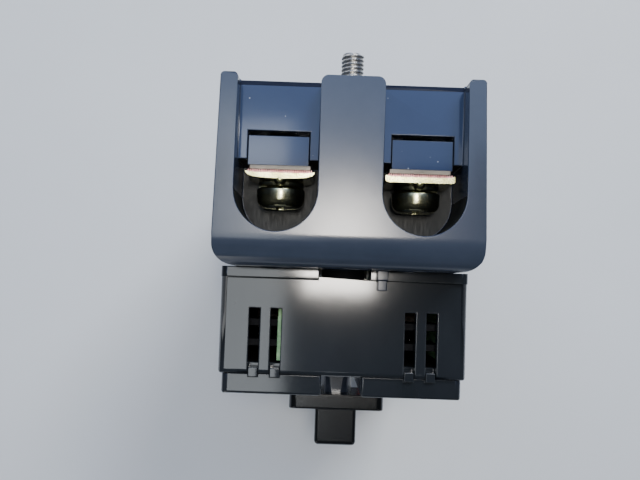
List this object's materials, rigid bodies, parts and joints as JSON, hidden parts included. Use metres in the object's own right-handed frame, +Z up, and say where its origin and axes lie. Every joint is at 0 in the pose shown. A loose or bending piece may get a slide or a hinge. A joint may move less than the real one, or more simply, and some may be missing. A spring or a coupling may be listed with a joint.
{
  "type": "motor protection breaker",
  "caption": "Panel-mounted moulded-case motor breaker with fork-shaped terminal ends, clamp terminals, vented cover, toggle handle and a full inner switching and trip mechanism.",
  "frame": {"origin": "centre of the flat back face, on the centre line half way between the two end faces", "axes": "+Y out of the back into the panel, -Y to the front with the handle, +Z up to the line terminals, +X to the right seen from the front"},
  "size_m": [0.045, 0.0752, 0.096],
  "materials": {
    "navy_plastic": "satin",
    "black_plastic": "satin",
    "grip_plastic": "matte",
    "mechanism_plastic": "matte",
    "fibre_sheet": "matte",
    "zinc_steel": "satin",
    "deion_steel": "satin",
    "tinned_copper": "satin",
    "copper": "satin",
    "bimetal": "satin",
    "chromated_steel": "polished",
    "spring_steel": "polished",
    "label_film": "matte",
    "mark_paint": "matte",
    "button_plastic": "gloss"
  },
  "bodies": {
    "housing": {"base": "navy_plastic", "cover": "black_plastic", "front_plate_left": "black_plastic", "front_plate_right": "black_plastic", "label": "label_film", "position_marks": "mark_paint", "cover_screws": "zinc_steel", "mounting_screws": "zinc_steel", "mounting_washers": "zinc_steel", "terminal_inserts": "navy_plastic", "terminal_nuts": "zinc_steel", "line_conductor_left": "tinned_copper", "line_conductor_right": "tinned_copper", "load_conductor_left": "tinned_copper", "load_conductor_right": "tinned_copper", "chute_walls_left": "fibre_sheet", "chute_walls_right": "fibre_sheet", "chute_plates_left": "deion_steel", "chute_plates_right": "deion_steel", "bimetal_left": "bimetal", "bimetal_right": "bimetal", "calibration_screws": "chromated_steel", "yoke_left": "zinc_steel", "yoke_right": "zinc_steel", "braids": "copper", "frame_plates": "zinc_steel", "frame_screws": "zinc_steel", "pivot_pins": "zinc_steel", "handle_springs": "spring_steel", "opening_springs": "spring_steel", "trip_spring": "spring_steel", "button_spring": "spring_steel"},
    "handle_body": {"handle": "navy_plastic", "handle_cap": "grip_plastic", "handle_lever": "zinc_steel"},
    "link_body": {"link": "zinc_steel"},
    "crossbar_body": {"crossbar": "mechanism_plastic", "crossbar_lever": "zinc_steel", "contact_spring_left": "spring_steel", "contact_spring_right": "spring_steel"},
    "arm_left_body": {"arm_left": "copper"},
    "arm_right_body": {"arm_right": "copper"},
    "cradle_body": {"cradle": "zinc_steel"},
    "trip_bar_body": {"trip_bar": "mechanism_plastic"},
    "armature_left_body": {"armature_left": "zinc_steel"},
    "armature_right_body": {"armature_right": "zinc_steel"},
    "trip_button_body": {"trip_button": "button_plastic"},
    "clamp_line_left_body": {"clamp_line_left": "chromated_steel"},
    "screw_line_left_body": {"screw_line_left": "chromated_steel"},
    "clamp_line_right_body": {"clamp_line_right": "chromated_steel"},
    "screw_line_right_body": {"screw_line_right": "chromated_steel"},
    "clamp_load_left_body": {"clamp_load_left": "chromated_steel"},
    "screw_load_left_body": {"screw_load_left": "chromated_steel"},
    "clamp_load_right_body": {"clamp_load_right": "chromated_steel"},
    "screw_load_right_body": {"screw_load_right": "chromated_steel"}
  },
  "joints": [
    {"name": "handle_swing", "type": "hinge", "parent": "housing", "child": "handle_body", "pos_m": [0, -0.0395, 0], "axis": [-1, 0, 0], "range_deg": [-17, 17]},
    {"name": "link_swing", "type": "hinge", "parent": "handle_body", "child": "link_body", "pos_m": [0, -0.0395, -0.0062], "axis": [-1, 0, 0], "range_deg": [-17.5, 17.5]},
    {"name": "crossbar_swing", "type": "hinge", "parent": "housing", "child": "crossbar_body", "pos_m": [0, -0.0245, -0.004], "axis": [-1, 0, 0], "range_deg": [-11.5, 11.5]},
    {"name": "arm_left_lift", "type": "hinge", "parent": "crossbar_body", "child": "arm_left_body", "pos_m": [0, -0.0245, -0.004], "axis": [1, 0, 0], "range_deg": [0, 4], "stiffness_Nm_per_rad": 0.02, "springref_deg": -5.73, "deforming": ["contact_spring_left"]},
    {"name": "arm_right_lift", "type": "hinge", "parent": "crossbar_body", "child": "arm_right_body", "pos_m": [0, -0.0245, -0.004], "axis": [1, 0, 0], "range_deg": [0, 4], "stiffness_Nm_per_rad": 0.02, "springref_deg": -5.73, "deforming": ["contact_spring_right"]},
    {"name": "cradle_trip", "type": "hinge", "parent": "housing", "child": "cradle_body", "pos_m": [0, -0.0295, 0.007], "axis": [-1, 0, 0], "range_deg": [0, 12]},
    {"name": "trip_bar_turn", "type": "hinge", "parent": "housing", "child": "trip_bar_body", "pos_m": [0, -0.0425, -0.0175], "axis": [1, 0, 0], "range_deg": [0, 17]},
    {"name": "armature_left_pull", "type": "hinge", "parent": "housing", "child": "armature_left_body", "pos_m": [-0.0144, -0.0315, -0.0228], "axis": [-1, 0, 0], "range_deg": [0, 4], "stiffness_Nm_per_rad": 0.01, "springref_deg": -5.73},
    {"name": "armature_right_pull", "type": "hinge", "parent": "housing", "child": "armature_right_body", "pos_m": [0.0144, -0.0315, -0.0228], "axis": [-1, 0, 0], "range_deg": [0, 4], "stiffness_Nm_per_rad": 0.01, "springref_deg": -5.73},
    {"name": "trip_button_push", "type": "slide", "parent": "housing", "child": "trip_button_body", "axis": [0, 1, 0], "range_m": [0, 0.002], "stiffness_N_per_m": 200, "springref_m": -0.002, "deforming": ["button_spring"]},
    {"name": "clamp_line_left_lift", "type": "slide", "parent": "housing", "child": "clamp_line_left_body", "axis": [0, -1, 0], "range_m": [0, 0.0032]},
    {"name": "screw_line_left_turn", "type": "hinge", "parent": "clamp_line_left_body", "child": "screw_line_left_body", "pos_m": [-0.01185, -0.0199, 0.0385], "axis": [0, -1, 0], "range_deg": [0, 1441]},
    {"name": "clamp_line_right_lift", "type": "slide", "parent": "housing", "child": "clamp_line_right_body", "axis": [0, -1, 0], "range_m": [0, 0.0032]},
    {"name": "screw_line_right_turn", "type": "hinge", "parent": "clamp_line_right_body", "child": "screw_line_right_body", "pos_m": [0.01185, -0.0199, 0.0385], "axis": [0, -1, 0], "range_deg": [0, 1441]},
    {"name": "clamp_load_left_lift", "type": "slide", "parent": "housing", "child": "clamp_load_left_body", "axis": [0, -1, 0], "range_m": [0, 0.0032]},
    {"name": "screw_load_left_turn", "type": "hinge", "parent": "clamp_load_left_body", "child": "screw_load_left_body", "pos_m": [-0.01185, -0.0199, -0.0385], "axis": [0, -1, 0], "range_deg": [0, 1441]},
    {"name": "clamp_load_right_lift", "type": "slide", "parent": "housing", "child": "clamp_load_right_body", "axis": [0, -1, 0], "range_m": [0, 0.0032]},
    {"name": "screw_load_right_turn", "type": "hinge", "parent": "clamp_load_right_body", "child": "screw_load_right_body", "pos_m": [0.01185, -0.0199, -0.0385], "axis": [0, -1, 0], "range_deg": [0, 1441]}
  ],
  "couplings": [
    {"joint": "link_swing", "follows": "handle_swing", "ratio": -1},
    {"joint": "crossbar_swing", "follows": "handle_swing", "ratio": 0.64706},
    {"joint": "trip_bar_turn", "follows": "trip_button_push", "rad_per_m": 145},
    {"joint": "screw_line_left_turn", "follows": "clamp_line_left_lift", "rad_per_m": 7854},
    {"joint": "screw_line_right_turn", "follows": "clamp_line_right_lift", "rad_per_m": 7854},
    {"joint": "screw_load_left_turn", "follows": "clamp_load_left_lift", "rad_per_m": 7854},
    {"joint": "screw_load_right_turn", "follows": "clamp_load_right_lift", "rad_per_m": 7854}
  ]
}
